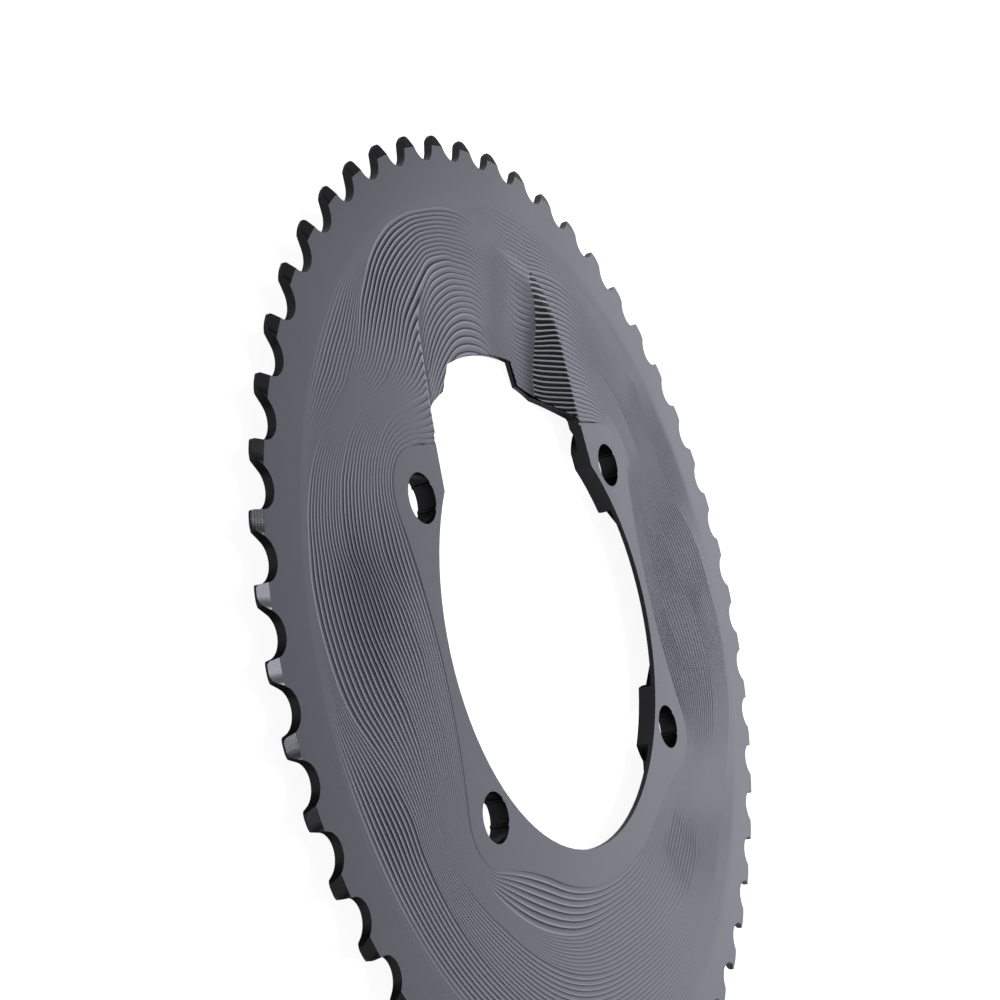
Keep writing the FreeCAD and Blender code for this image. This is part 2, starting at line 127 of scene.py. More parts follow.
LINE_MIDDLE = [
    (-66, -33), (-65.8, -20), (-66.5, -12), (-67.5, -7), (-70, 0), (-73.5, 10), (-75, 20), (-76, 26),
    (-74.5, 33), (-72.5, 37.5), (-70, 41), (-67.5, 44), (-64, 47), (-60, 49.6), (-54.5, 52), (-51, 53.6),
    (-47.5, 55.4), (-44, 58.2), (-41, 61.5), (-38.5, 64.8), (-36.5, 67.5), (-34, 70), (-31.5, 72),
    (-26, 76), (-20, 79.4), (-13, 80.4), (-8, 79.8), (-3, 79.1), (2, 77.3), (5.5, 75.2), (9.5, 71.4),
    (14, 67.6), (19, 65), (25, 63.6), (34.4, 63), (40, 61.8), (45, 59.5), (50, 56), (54, 52), (58, 47),
    (61, 42), (63.5, 36), (65.8, 30), (67.2, 22.2), (67.4, 17.8), (68.8, 11.7), (70.8, 5.6), (73, 0),
    (75.8, -5.5), (77.7, -10), (78.5, -15.5), (78.8, -20), (78, -25.5), (76.3, -30.5), (74, -34.5),
    (70.2, -39.5), (66, -44), (61, -48), (55.6, -51.6), (51, -54.6), (47.4, -58), (43.6, -62.8),
    (36, -68), (20, -72), (0, -73), (-25, -69), (-50, -53), (-62, -40),
]
LINE_OUTER = [
    (-73.4, -32), (-75, -24), (-77.5, -18), (-80, -13.5), (-83, -9), (-86, -4.5), (-88, 0), (-89.7, 10),
    (-89.8, 15), (-89, 22), (-87.5, 27), (-86, 31.5), (-84, 35.5), (-81.5, 39.5), (-78.5, 43),
    (-74.5, 46.5), (-68, 51), (-62.5, 55), (-57.5, 60.3), (-54, 65.5), (-50.5, 71.5), (-48, 74.5),
    (-44, 79), (-39, 83), (-32.5, 86.5), (-26, 88.5), (-18, 89.8), (-8, 90.6), (-2, 90), (4, 88),
    (9, 85.5), (13, 82.8), (18, 80.2), (25, 78.4), (30, 77.9), (34.4, 77.3), (40, 76), (45, 74), (50, 71),
    (55, 67), (60, 61.6), (64.5, 56.6), (68.6, 53), (71.7, 50), (73, 46), (74, 38), (75.2, 32.8),
    (76.9, 27.8), (79, 22.2), (82.4, 16.7), (86.3, 11.7), (89.2, 5), (90.4, -4.4), (91, -10), (91, -15.5),
    (90.3, -22), (87.5, -30), (83, -38), (79, -43), (75.5, -46.4), (71.75, -49.8), (67.4, -53),
    (63.6, -55.6), (61.1, -59), (58.6, -63.4), (53, -69), (35, -79), (0, -84), (-30, -80), (-55, -62),
    (-68, -45),
]
FLUTES_BETWEEN_LINES = (7, 10, 11, 11)
LEAST_LINE_GAP = 0.15
LEAST_RIM_GAP = 0.6

# Mesh of the skin: one piece for each sector, with columns closer where the recess walls are crossed
SKIN_SECTORS = {
    "milled_left": (128.0, 232.0),
    "milled_top_left": (90.0, 128.0),
    "milled_top_right": (50.0, 90.0),
    "milled_right": (-40.0, 50.0),
    "milled_bottom": (-128.0, -40.0),
}
STEPS_PER_FLUTE = 4
FINE_COLUMN_DEG = 0.125
COARSE_COLUMN_DEG = 0.25
FINE_FROM_DEG = 50.0
FINE_TO_DEG = 130.0
MOUTH_MIDDLE_DEG = 90.0
MOUTH_SPAN_DEG = 47.0

# Depth of the skin and height of its flutes, in millimetres
SKIN_DEPTH = 0.05
HIGHEST_SKIN_Z = -0.004
OUTER_RAMP = 4.0
RECESS_LIFT = 0.26
FLUTE_HEIGHT = 0.08
FLUTE_LIMIT = 0.17
WALL_FLUTE_HEIGHT = 0.14
NORMAL_PITCH = 1.3
PITCH_LIMIT = 1.35
FADE_PITCH = 0.3
FADE_SPAN = 0.4
TONE_PITCH_LIMIT = 1.5
TONE_POWER = 0.6

# Places where the flutes run deep (+) or fade out (-): centre, half widths, turn, amount
FLUTE_STRENGTH = [
    (-74, 18, 11, 16, 10, 0.9), (-38, 76, 16, 8, 45, 0.7), (-82, -22, 7, 12, 20, 0.5),
    (-64, 51, 9, 5, 35, -0.95), (2, 85.5, 9, 4, 0, -0.9), (-62, -27, 5, 8, 0, -0.8),
    (-42, 47, 11, 7, 0, -0.85), (64, 10, 34, 75, 0, 1.3), (66, 44, 6, 14, 20, -0.6),
    (59, 64, 8, 6, -40, -0.5), (60, -46, 10, 5, 30, -0.7), (80, 32, 6, 13, 20, 0.5),
    (62, 22, 5, 6, 0, -0.4), (86, -8, 5, 7, 0, -0.5), (20, 86, 14, 5, 0, -0.5),
    (-48, 56, 10, 14, -35, -0.35), (14, 66, 13, 10, 0, 1.0), (45, 58, 9, 13, 35, 0.7),
    (54, 0, 3, 20, 0, -0.3), (-55, 0, 3, 30, 0, -0.35), (38, -64, 20, 10, -20, 0.7),
    (40, 43.5, 7, 2.5, 0, -0.6),
]
LEAST_STRENGTH = 0.04
MOST_STRENGTH = 2.2

# Thin line where the skin meets the pads: painted highlight on the left of the ring, painted shade on the
# right
PAD_OVERLAP = 0.15
PAD_LINE_WIDTH = 0.35
PAD_LINE_TURN = 15.0
PAD_LIGHT_SHADE_GAIN = 0.5

# Teeth: one gap of the rim is cut here, to the outline of its neighbours
TOOTH_STEP_DEG = 360.0 / 52
TOOTH_PHASE_DEG = 6.27
MISSING_GAP = 51
CHAIN_PITCH = 12.7
PITCH_RADIUS = CHAIN_PITCH / 2 / math.sin(math.radians(TOOTH_STEP_DEG / 2))
SEAT_RADIUS = 4.05
TOOTH_HEIGHT = 5.6
TIP_RADIUS = PITCH_RADIUS - SEAT_RADIUS + TOOTH_HEIGHT
STEEP_FLANK_DEG = 78.0
OPEN_FLANK_DEG = 62.0
STEEP_TIP_ROUND = 1.0
OPEN_TIP_ROUND = 2.0
TIP_STEPS = 12
SEAT_STEPS = 24
CUTTER_OVERRUN = 1.0
CUTTER_Z = (-0.004, 0.001)
WELD_DISTANCE = 1e-6
SHARP_EDGE_DEG = 14.0

# Grain of the metal, shared by both finishes
FINE_GRAIN = {"Scale": 2600.0, "Detail": 3.0}
BROAD_CLOUD = {"Scale": 28.0, "Detail": 2.0}
FINE_SHADE = 0.12
CLOUD_ROUGHNESS = 0.06
FACE_GREY = (0.054, 0.0545, 0.070, 1)
FACE_METALLIC = 0.5
FACE_ROUGHNESS = 0.34
FACE_SPECULAR = 0.5
WALL_BLACK = (0.010, 0.010, 0.012, 1)
BUMP_DISTANCE = 0.00005

# Milled face: bands run across a flute from 0 to 1. The dark line band is painted shade and the light line
# band a painted highlight in every flute.
SKIN_CLOUD_SHADE = 0.12
SKIN_BUMP = 0.12
TONE_LIMIT = 1.7
SHADE_LINE_BAND = (0.34, 0.04)
SHADE_LINE_GAIN = 0.50
SHADE_LINE_ROUGHNESS = 0.2
HIGHLIGHT_LINE_BAND = (0.60, 0.90)
HIGHLIGHT_LINE_GAIN = 0.75
# Right recess wall: painted reflection stripes, light grey on black
STRIPE_MIDDLE = 0.84
STRIPE_BAND = (0.20, 0.10)
STRIPE_REFLECTION_GREY = (0.55, 0.55, 0.58, 1)
WALL_SPECULAR = 0.06
# Left lip of the recess: painted highlight line
LIP_HIGHLIGHT_GREY = (0.5, 0.5, 0.54, 1)
LIP_HIGHLIGHT_GAIN = 0.8
BARE_GREY = (0.10, 0.10, 0.118, 1)

# Ring: bands of how level a face lies, of the distance from the axis in metres, and along a tooth.
# The teeth ahead are whole ones, added so that the count round the rim stays above zero.
RING_CLOUD_SHADE = 0.10
RING_BUMP = 0.15
FLAT_BAND = (0.955, 0.985)
BEVEL_BAND = (0.82, 0.88)
TOOTH_REACH_BAND = (0.0945, 0.0955)
DARK_ROUGHNESS = 0.20
DARK_SPECULAR = 0.5
BEVEL_SPECULAR = 0.2
# Tooth bevels: painted reflection streaks and a painted glint, grey on the black
STREAK_REFLECTION_GREY = (0.10, 0.10, 0.105, 1)
STREAK_BAND = (0.60, 0.50)
STREAK_WAVES = 240.0
STREAK_DEPTH = 0.12
STREAK_LEVEL = 0.75
GLINT_RISE = (0.62, 0.66)
GLINT_FALL = (0.78, 0.72)
TEETH_AHEAD = 60.0
TURNING_SLANT = 1.3
TURNING_WAVES = 21000.0
TURNING_DEPTH = 0.35


def polar(points):
    """Angle in degrees and distance of points about the axis, sorted by angle."""
    points = np.array(points, float)
    angle = np.degrees(np.arctan2(points[:, 1], points[:, 0]))
    radius = np.hypot(points[:, 0], points[:, 1])
    order = np.argsort(angle)
    return angle[order], radius[order]


def three_turns(points):
    """A closed line as angle and distance, repeated a turn before and a turn after."""
    angle, radius = polar(points)
    return np.concatenate([angle - 360, angle, angle + 360]), np.tile(radius, 3)


def within_turn(at):
    return (np.asarray(at) + 180) % 360 - 180


def smooth_loop(points, at):
    """Distance of a closed line at given angles, by a cubic through its points that doesn't overshoot."""
    angle, radius = three_turns(points)
    step = np.diff(angle)
    slope = np.diff(radius) / step
    before, after = slope[:-1], slope[1:]
    weight_before, weight_after = 2 * step[1:] + step[:-1], step[1:] + 2 * step[:-1]
    same_way = before * after > 0
    spread = weight_before / np.where(same_way, before, 1) + weight_after / np.where(same_way, after, 1)
    tangent = np.zeros_like(radius)
    tangent[1:-1] = np.where(same_way, (weight_before + weight_after) / spread, 0)
    where = within_turn(at)
    index = np.clip(np.searchsorted(angle, where) - 1, 0, len(step) - 1)
    length = step[index]
    along = (where - angle[index]) / length
    return (
        radius[index] * (2 * along ** 3 - 3 * along ** 2 + 1)
        + tangent[index] * length * (along ** 3 - 2 * along ** 2 + along)
        + radius[index + 1] * (3 * along ** 2 - 2 * along ** 3)
        + tangent[index + 1] * length * (along ** 3 - along ** 2)
    )


def arc_points(center, radius, start, end, count=ARC_STEPS):
    angles = np.linspace(start, end, count)
    return [(center[0] + radius * math.cos(a), center[1] + radius * math.sin(a)) for a in angles]


def bolt_place():
    """Place of the upper right bolt."""
    turn = math.radians(BOLT_ANGLE_DEG)
    return BOLT_CIRCLE_RADIUS * math.cos(turn), BOLT_CIRCLE_RADIUS * math.sin(turn)


def pad_outline():
    """Right half of the smooth pads round the bolts: tangent arcs, from the mouth down to the foot."""
    bolt_x, bolt_y = bolt_place()
    waist_x = bolt_x + math.sqrt((PAD_WAIST_RADIUS + PAD_RADIUS) ** 2 - bolt_y ** 2)
    swing = math.atan2(bolt_y, waist_x - bolt_x)
    reach = PAD_FOOT_RADIUS + PAD_FOOT_BLEND
    bolt = math.hypot(bolt_x, bolt_y)
    fold = math.acos((reach ** 2 + bolt ** 2 - (PAD_RADIUS + PAD_FOOT_BLEND) ** 2) / (2 * reach * bolt))
    blend_way = math.atan2(-bolt_y, bolt_x) - fold
    blend = (reach * math.cos(blend_way), reach * math.sin(blend_way))
    to_bolt = math.atan2(-bolt_y - blend[1], bolt_x - blend[0])
    outline = arc_points((bolt_x, bolt_y), PAD_RADIUS, math.pi / 2, -swing)
    outline += arc_points((waist_x, 0), PAD_WAIST_RADIUS, math.pi - swing, math.pi + swing)
    outline += arc_points((bolt_x, -bolt_y), PAD_RADIUS, swing, to_bolt - math.pi)
    outline += arc_points(blend, PAD_FOOT_BLEND, to_bolt, blend_way + math.pi)
    outline += arc_points((0, 0), PAD_FOOT_RADIUS, blend_way, -math.pi / 2)
    return outline


def inner_edge(at):
    """Distance of the skin's inner edge: the pads, then the mouth and its notch under the crank arm."""
    bolt_x, bolt_y = bolt_place()
    pad_top = bolt_y + PAD_RADIUS
    mouth_y = math.sqrt(MOUTH_RADIUS ** 2 - MOUTH_HALF ** 2)
    notch_y = math.sqrt(NOTCH_RADIUS ** 2 - NOTCH_HALF ** 2)
    root_y = math.sqrt(MOUTH_RADIUS ** 2 - NOTCH_ROOT_HALF ** 2)
    right = pad_outline()
    right += [(x, pad_top) for x in np.linspace(bolt_x, MOUTH_HALF + PAD_TOP_OVERRUN, PAD_TOP_STEPS)]
    right += [(MOUTH_HALF, mouth_y)]
    start, end = math.atan2(mouth_y, MOUTH_HALF), math.atan2(root_y, NOTCH_ROOT_HALF)
    right += arc_points((0, 0), MOUTH_RADIUS, start, end)
    right += arc_points((0, 0), NOTCH_RADIUS, math.atan2(notch_y, NOTCH_HALF), math.pi / 2)
    return np.interp(within_turn(at), *three_turns(right + [(-x, y) for x, y in right]))


def recess_widths(x, y):
    """Half widths of the recess at its lip and at its floor."""
    turn = np.radians(np.linspace(0, 90, RECESS_CORNER_STEPS + 1))
    stations = RECESS_TOP - RECESS_CORNER + RECESS_CORNER * np.sin(turn)
    halves = RECESS_LIP_HALF - RECESS_CORNER + RECESS_CORNER * np.cos(turn)
    lip = np.interp(y, stations, halves)
    floor_half = RECESS_FLOOR_HALF - (RECESS_LIP_HALF - lip) * FLOOR_TAPER
    narrowing = np.interp(y, *zip(*LEFT_WALL_NARROWING)) * (x < 0)
    return lip - (lip - floor_half) * narrowing, floor_half


def recess_form(x, y):
    """Depth of the recess, with a floor that dips towards the axis, and where its painted reflection
    stripes, painted lip highlight and bare wall lie.
    """
    lip, floor_half = recess_widths(x, y)
    up_wall = (np.abs(x) - floor_half) / (lip - floor_half)
    rise = np.clip((up_wall + np.hypot(up_wall, WALL_FOOT_BLEND)) / 2, 0, 1)
    depth = (RECESS_TOP - y) * RECESS_SLOPE * (1 - rise)
    inside = (y < RECESS_TOP) & (np.abs(x) < lip) & (y > 0)
    depth = np.where(inside, np.maximum(depth, 0), 0)
    near_top = np.clip((y - TOP_BLEND_START) / TOP_BLEND_LENGTH, 0, 1)
    depth = depth ** 2 / (depth + TOP_BLEND * near_top + TINY)
    on_right_wall = (x > np.interp(y, *zip(*STRIPE_FOOT))) & (x < lip - STRIPE_LIP_GAP)
    striped = inside & on_right_wall & (y < STRIPE_FOOT[-1][0])
    # Painted highlight: a thin bright line along the left lip of the recess
    lip_highlight = np.exp(-(((depth - LIP_LINE_DEPTH) / LIP_LINE_WIDTH) ** 2)) * (x < 0) * inside
    lip_highlight = lip_highlight * np.clip((LIP_LINE_TOP - y) / LIP_LINE_FADE, 0, 1)
    bare_wall = np.where((x > 0) & ~striped, np.clip(up_wall / WALL_FOOT_BLEND + 0.5, 0, 1), 0) * inside
    return depth, {"wall": striped.astype(float), "lip": lip_highlight, "bare": bare_wall}


def bump_at(x, y, cx, cy, rx, ry, turn_deg):
    """Smooth mound of height one."""
    turn = math.radians(turn_deg)
    u = ((x - cx) * math.cos(turn) + (y - cy) * math.sin(turn)) / rx
    v = ((y - cy) * math.cos(turn) - (x - cx) * math.sin(turn)) / ry
    return np.exp(-(u * u + v * v))


def flute_strength(x, y):
    strength = np.ones_like(x)
    for cx, cy, rx, ry, turn, amount in FLUTE_STRENGTH:
        strength += amount * bump_at(x, y, cx, cy, rx, ry, turn)
    return np.clip(strength, LEAST_STRENGTH, MOST_STRENGTH)


def skin_columns(start, end):
    """Angles of the mesh columns, closer where the recess walls are crossed."""
    angles = [start]
    while angles[-1] < end - TINY:
        fine = FINE_FROM_DEG <= angles[-1] < FINE_TO_DEG
        angles.append(min(angles[-1] + (FINE_COLUMN_DEG if fine else COARSE_COLUMN_DEG), end))
    return np.array(angles)


def flute_limits(theta, over_mouth):
    """Distances of the inner edge and of the guide lines at each column, from the pads out to the rim."""
    edge = inner_edge(theta) - PAD_OVERLAP * ~over_mouth
    limits = [np.where(over_mouth, smooth_loop(LINE_OVER_MOUTH, theta), edge)]
    for line in (LINE_ABOVE_PADS, LINE_MIDDLE, LINE_OUTER):
        limits.append(np.maximum(smooth_loop(line, theta), limits[-1] + LEAST_LINE_GAP))
    outer = np.full_like(theta, FIELD_RADIUS)
    farthest = outer - LEAST_RIM_GAP
    limits = [np.minimum(limit, farthest + LEAST_LINE_GAP * number) for number, limit in enumerate(limits)]
    return edge, limits + [outer]


def skin_height(radius, x, y, pitch, across, pad_gap):
    """Height of the milled surface and the values its colour, with its painted shade and highlights, is
    made from.
    """
    depth, values = recess_form(x, y)
    strength = flute_strength(x, y)
    fade = np.clip((pitch - FADE_PITCH) / FADE_SPAN, 0, 1)
    rim = np.clip((FIELD_RADIUS - radius) / OUTER_RAMP, 0, 1)
    ramp = rim * rim * (3 - 2 * rim)
    height = FLUTE_HEIGHT * np.minimum(pitch / NORMAL_PITCH, PITCH_LIMIT) ** 2 * strength * fade * ramp
    height = np.where(values["wall"] > 0, WALL_FLUTE_HEIGHT, np.minimum(height, FLUTE_LIMIT))
    drop = SKIN_DEPTH * ramp * np.clip(pad_gap / PAD_LINE_WIDTH, 0, 1)
    top = -np.maximum(depth - RECESS_LIFT, drop)
    crest = (2 * across - 1) ** 2
    z = np.minimum(top - height * (1 - crest), HIGHEST_SKIN_Z)
    # Tone: how strong the painted shade and highlight lines are in each flute
    pitch_tone = np.clip(pitch / NORMAL_PITCH, 0, TONE_PITCH_LIMIT) ** TONE_POWER
    values["tone"] = strength * fade * ramp * pitch_tone
    return z, values


def flute_row(theta, over_mouth, edge, wanted, pitch, across):
    """Points, colour values and painted light of one row of the skin, kept from running in past the edge.
    """
    radius = np.maximum(wanted, edge)
    x, y = radius * np.cos(np.radians(theta)), radius * np.sin(np.radians(theta))
    pad_gap = np.where(over_mouth, FIELD_RADIUS, np.maximum(radius - edge - PAD_OVERLAP, 0))
    z, values = skin_height(radius, x, y, pitch, across, pad_gap)
    # Painted highlight along the pad edges on the left of the ring, painted shade on the right
    near_pad = np.exp(-((pad_gap / PAD_LINE_WIDTH) ** 2))
    values["pad"] = near_pad * np.clip(-x / PAD_LINE_TURN, -1, 1)
    values["across"] = np.full(len(theta), across)
    return np.stack([x, y, z], 1), values


def fluted_surface(start, end):
    """Points, faces, colour values and painted light of one sector: a strip of mesh per flute, with sharp
    crests between.
    """
    theta = skin_columns(start, end)
    over_mouth = np.abs(theta - MOUTH_MIDDLE_DEG) < MOUTH_SPAN_DEG
    edge, limits = flute_limits(theta, over_mouth)
    width = len(theta)
    points, faces = [], []
    finish_and_painted_light = {"across": [], "tone": [], "wall": [], "lip": [], "bare": [], "pad": []}
    for inner, outer, flutes in zip(limits, limits[1:], FLUTES_BETWEEN_LINES):
        pitch = (outer - inner) / flutes
        for flute in range(flutes):
            first = len(points) * width
            above_edge = []
            for step in range(STEPS_PER_FLUTE + 1):
                across = step / STEPS_PER_FLUTE
                wanted = inner + pitch * (flute + across)
                row, values = flute_row(theta, over_mouth, edge, wanted, pitch, across)
                points.append(row)
                above_edge.append(wanted > edge)
                for attribute, value in values.items():
                    finish_and_painted_light[attribute].append(value)
            for step in range(STEPS_PER_FLUTE):
                shown = above_edge[step + 1][:-1] | above_edge[step + 1][1:]
                below = (first + step * width + np.arange(width - 1))[shown]
                faces.append(np.stack([below, below + width, below + width + 1, below + 1], 1))
    return np.concatenate(points) * MM, np.concatenate(faces), finish_and_painted_light


def place_piece(name, mesh):
    """Object with a mesh that is fixed to the ring."""
    piece = bpy.data.objects.new(name, mesh)
    bpy.context.scene.collection.objects.link(piece)
    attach(piece, "root")
    return piece


def make_skin(name, start, end, material):
    """Fluted surface over one sector of the milled field."""
    points, faces, finish_and_painted_light = fluted_surface(start, end)
    mesh = bpy.data.meshes.new(name)
    mesh.vertices.add(len(points))
    mesh.vertices.foreach_set("co", points.ravel())
    mesh.loops.add(faces.size)
    mesh.loops.foreach_set("vertex_index", faces.ravel())
    mesh.polygons.add(len(faces))
    corners = faces.shape[1]
    mesh.polygons.foreach_set("loop_start", np.arange(0, faces.size, corners))
    mesh.polygons.foreach_set("loop_total", np.full(len(faces), corners))
    mesh.update()
    mesh.polygons.foreach_set("use_smooth", np.ones(len(faces), bool))
    for attribute, values in finish_and_painted_light.items():
        layer = mesh.attributes.new(attribute, "FLOAT", "POINT")
        layer.data.foreach_set("value", np.concatenate(values))
    mesh.materials.append(material)
    place_piece(name, mesh)


class Nodes:
    """Short way to add shader nodes with constant inputs and links."""

    def __init__(self, name):
        self.material = bpy.data.materials.new(name)
        self.material.use_nodes = True
        self.tree = self.material.node_tree
        self.shader = self.tree.nodes["Principled BSDF"]

    def add(self, kind, settings=None, **inputs):
        node = self.tree.nodes.new(kind)
        for key, value in (settings or {}).items():
            setattr(node, key, value)
        for key, value in inputs.items():
            numbered = key[0] == "i" and key[1:].isdigit()
            self.feed(node, int(key[1:]) if numbered else key, value)
        return node

    def feed(self, node, key, value):
        socket = node.inputs[key]
        if isinstance(value, bpy.types.NodeSocket):
            self.tree.links.new(value, socket)
        else:
            socket.default_value = value

    def math(self, operation, first, second=0.0):
        return self.add("ShaderNodeMath", {"operation": operation}, i0=first, i1=second).outputs[0]

    def mix(self, factor, first, second):
        node = self.add("ShaderNodeMix", {"data_type": "RGBA"})
        self.feed(node, 0, factor)
        self.feed(node, 6, first)
        self.feed(node, 7, second)
        return node.outputs[2]

    def blend(self, factor, first, second):
        node = self.add("ShaderNodeMix", {"data_type": "FLOAT"})
        self.feed(node, 0, factor)
        self.feed(node, 2, first)
        self.feed(node, 3, second)
        return node.outputs[0]

    def band(self, value, low, high):
        node = self.add("ShaderNodeMapRange", {"clamp": True})
        for key, number in ((0, value), (1, low), (2, high), (3, 0.0), (4, 1.0)):
            self.feed(node, key, number)
        return node.outputs[0]

    def inverse(self, value):
        return self.math("SUBTRACT", 1.0, value)

    def swing(self, value, amount):
        """A noise of 0 to 1 as a shift to either side of zero."""
        return self.math("MULTIPLY", self.math("SUBTRACT", value, 0.5), amount)

    def scaled(self, color, gain):
        return self.add("ShaderNodeVectorMath", {"operation": "SCALE"}, i0=color[:3], Scale=gain).outputs[0]

    def object_place(self):
        return self.add("ShaderNodeTexCoord").outputs["Object"]

    def raise_by(self, height, strength):
        bump = self.add("ShaderNodeBump", Strength=strength, Distance=BUMP_DISTANCE, Height=height)
        self.feed(self.shader, "Normal", bump.outputs[0])


def satin_grain(nodes, place):
    """Fine even grain of the machined and anodised face, and broad soft change of tone."""
    fine = nodes.add("ShaderNodeTexNoise", Vector=place, **FINE_GRAIN).outputs[0]
    broad = nodes.add("ShaderNodeTexNoise", Vector=place, **BROAD_CLOUD).outputs[0]
    return fine, broad


def face_roughness(nodes, broad):
    return nodes.math("ADD", nodes.math("MULTIPLY", broad, CLOUD_ROUGHNESS), FACE_ROUGHNESS)


def skin_material():
    """Satin milled face with a painted shade line and a painted highlight line in every flute, painted
    reflection stripes on one recess wall, a painted highlight on the left lip and a painted light and shade
    line along the pads.
    """
    nodes = Nodes("milled_face")
    fine, broad = satin_grain(nodes, nodes.object_place())
    across, tone, wall, lip, bare, pad = (
        nodes.add("ShaderNodeAttribute", {"attribute_name": name}).outputs["Fac"]
        for name in ("across", "tone", "wall", "lip", "bare", "pad")
    )
    tone = nodes.math("MINIMUM", tone, TONE_LIMIT)
    # Painted shade line and painted highlight line across every flute
    painted_shade_line = nodes.math("MULTIPLY", nodes.band(across, *SHADE_LINE_BAND), tone)
    painted_highlight_line = nodes.math("MULTIPLY", nodes.band(across, *HIGHLIGHT_LINE_BAND), tone)
    painted_highlight_line = nodes.math("MULTIPLY", painted_highlight_line, HIGHLIGHT_LINE_GAIN)
    shade = nodes.math("SUBTRACT", painted_highlight_line, nodes.math("MULTIPLY", painted_shade_line, SHADE_LINE_GAIN))
    shade = nodes.math("ADD", shade, nodes.swing(fine, FINE_SHADE))
    shade = nodes.math("ADD", shade, nodes.swing(broad, SKIN_CLOUD_SHADE))
    # Painted highlight and painted shade along the pad edges
    shade = nodes.math("ADD", shade, nodes.math("MULTIPLY", pad, PAD_LIGHT_SHADE_GAIN))
    gain = nodes.math("ADD", shade, 1.0)
    face = nodes.mix(bare, nodes.scaled(FACE_GREY, gain), BARE_GREY)
    off_stripe = nodes.math("ABSOLUTE", nodes.math("SUBTRACT", across, STRIPE_MIDDLE))
    # Painted reflection: light grey stripes on black across each flute of the right recess wall
    reflection_stripe_color = nodes.mix(nodes.band(off_stripe, *STRIPE_BAND), WALL_BLACK, STRIPE_REFLECTION_GREY)
    # Painted highlight along the left lip of the recess
    color = nodes.mix(nodes.math("MULTIPLY", lip, LIP_HIGHLIGHT_GAIN), nodes.mix(wall, face, reflection_stripe_color), LIP_HIGHLIGHT_GREY)
    nodes.feed(nodes.shader, "Base Color", color)
    nodes.feed(nodes.shader, "Metallic", nodes.blend(wall, FACE_METALLIC, 0.0))
    # The specular level rises and falls with the painted shade and highlight lines
    face_specular = nodes.math("MULTIPLY", gain, FACE_SPECULAR)
    nodes.feed(nodes.shader, "Specular IOR Level", nodes.blend(wall, face_specular, WALL_SPECULAR))
    line_rough = nodes.math("MULTIPLY", painted_shade_line, SHADE_LINE_ROUGHNESS)
    nodes.feed(nodes.shader, "Roughness", nodes.math("ADD", face_roughness(nodes, broad), line_rough))
    nodes.raise_by(fine, SKIN_BUMP)
    return nodes.material


def tooth_reflection_streaks(nodes, x, y):
    """Painted reflection along each tooth bevel: fine streaks on the first part, then one painted glint."""
    turn = nodes.math("DEGREES", nodes.math("ARCTAN2", y, x))
    tooth = nodes.math("DIVIDE", nodes.math("SUBTRACT", turn, TOOTH_PHASE_DEG), TOOTH_STEP_DEG)
    along = nodes.math("FRACT", nodes.math("ADD", tooth, TEETH_AHEAD))
    lines = nodes.math("SINE", nodes.math("MULTIPLY", along, STREAK_WAVES))
    lines = nodes.math("ADD", nodes.math("MULTIPLY", lines, STREAK_DEPTH), STREAK_LEVEL)
    streaked = nodes.math("MULTIPLY", nodes.band(along, *STREAK_BAND), lines)
    glint = nodes.math("MULTIPLY", nodes.band(along, *GLINT_RISE), nodes.band(along, *GLINT_FALL))
    return nodes.math("ADD", streaked, glint)


def ring_material():
    """Satin grey on the flat faces, glossy black on bevels, tooth flanks, holes and inner walls, with
    painted reflection streaks and a painted glint on the tooth bevels.
    """
    nodes = Nodes("ring")
    place = nodes.object_place()
    fine, broad = satin_grain(nodes, place)
    normal = nodes.add("ShaderNodeNewGeometry").outputs["True Normal"]
    facing = nodes.math("ABSOLUTE", nodes.add("ShaderNodeSeparateXYZ", Vector=normal).outputs[2])
    x, y, z = nodes.add("ShaderNodeSeparateXYZ", Vector=place).outputs
    squares = nodes.math("ADD", nodes.math("MULTIPLY", x, x), nodes.math("MULTIPLY", y, y))
    reach = nodes.math("SQRT", squares)
    flat = nodes.band(facing, *FLAT_BAND)
    bevel = nodes.math("MULTIPLY", nodes.band(facing, *BEVEL_BAND), nodes.inverse(flat))
    bevel = nodes.math("MULTIPLY", bevel, nodes.band(reach, *TOOTH_REACH_BAND))
    shade = nodes.math("ADD", nodes.swing(fine, FINE_SHADE), nodes.swing(broad, RING_CLOUD_SHADE))
    face = nodes.scaled(FACE_GREY, nodes.math("ADD", shade, 1.0))
    # Painted reflection streaks and a painted glint on the tooth bevels
    lit = nodes.math("MULTIPLY", tooth_reflection_streaks(nodes, x, y), bevel)
    dark = nodes.mix(lit, WALL_BLACK, STREAK_REFLECTION_GREY)
    nodes.feed(nodes.shader, "Base Color", nodes.mix(flat, dark, face))
    nodes.feed(nodes.shader, "Metallic", nodes.blend(flat, lit, FACE_METALLIC))
    nodes.feed(nodes.shader, "Specular IOR Level", nodes.blend(bevel, DARK_SPECULAR, BEVEL_SPECULAR))
    nodes.feed(nodes.shader, "Roughness", nodes.blend(flat, DARK_ROUGHNESS, face_roughness(nodes, broad)))
    sweep = nodes.math("ADD", reach, nodes.math("MULTIPLY", z, TURNING_SLANT))
    turned = nodes.math("SINE", nodes.math("MULTIPLY", sweep, TURNING_WAVES))
    ridges = nodes.math("MULTIPLY", turned, nodes.inverse(flat))
    nodes.raise_by(nodes.math("ADD", nodes.math("MULTIPLY", ridges, TURNING_DEPTH), fine), RING_BUMP)
    return nodes.material


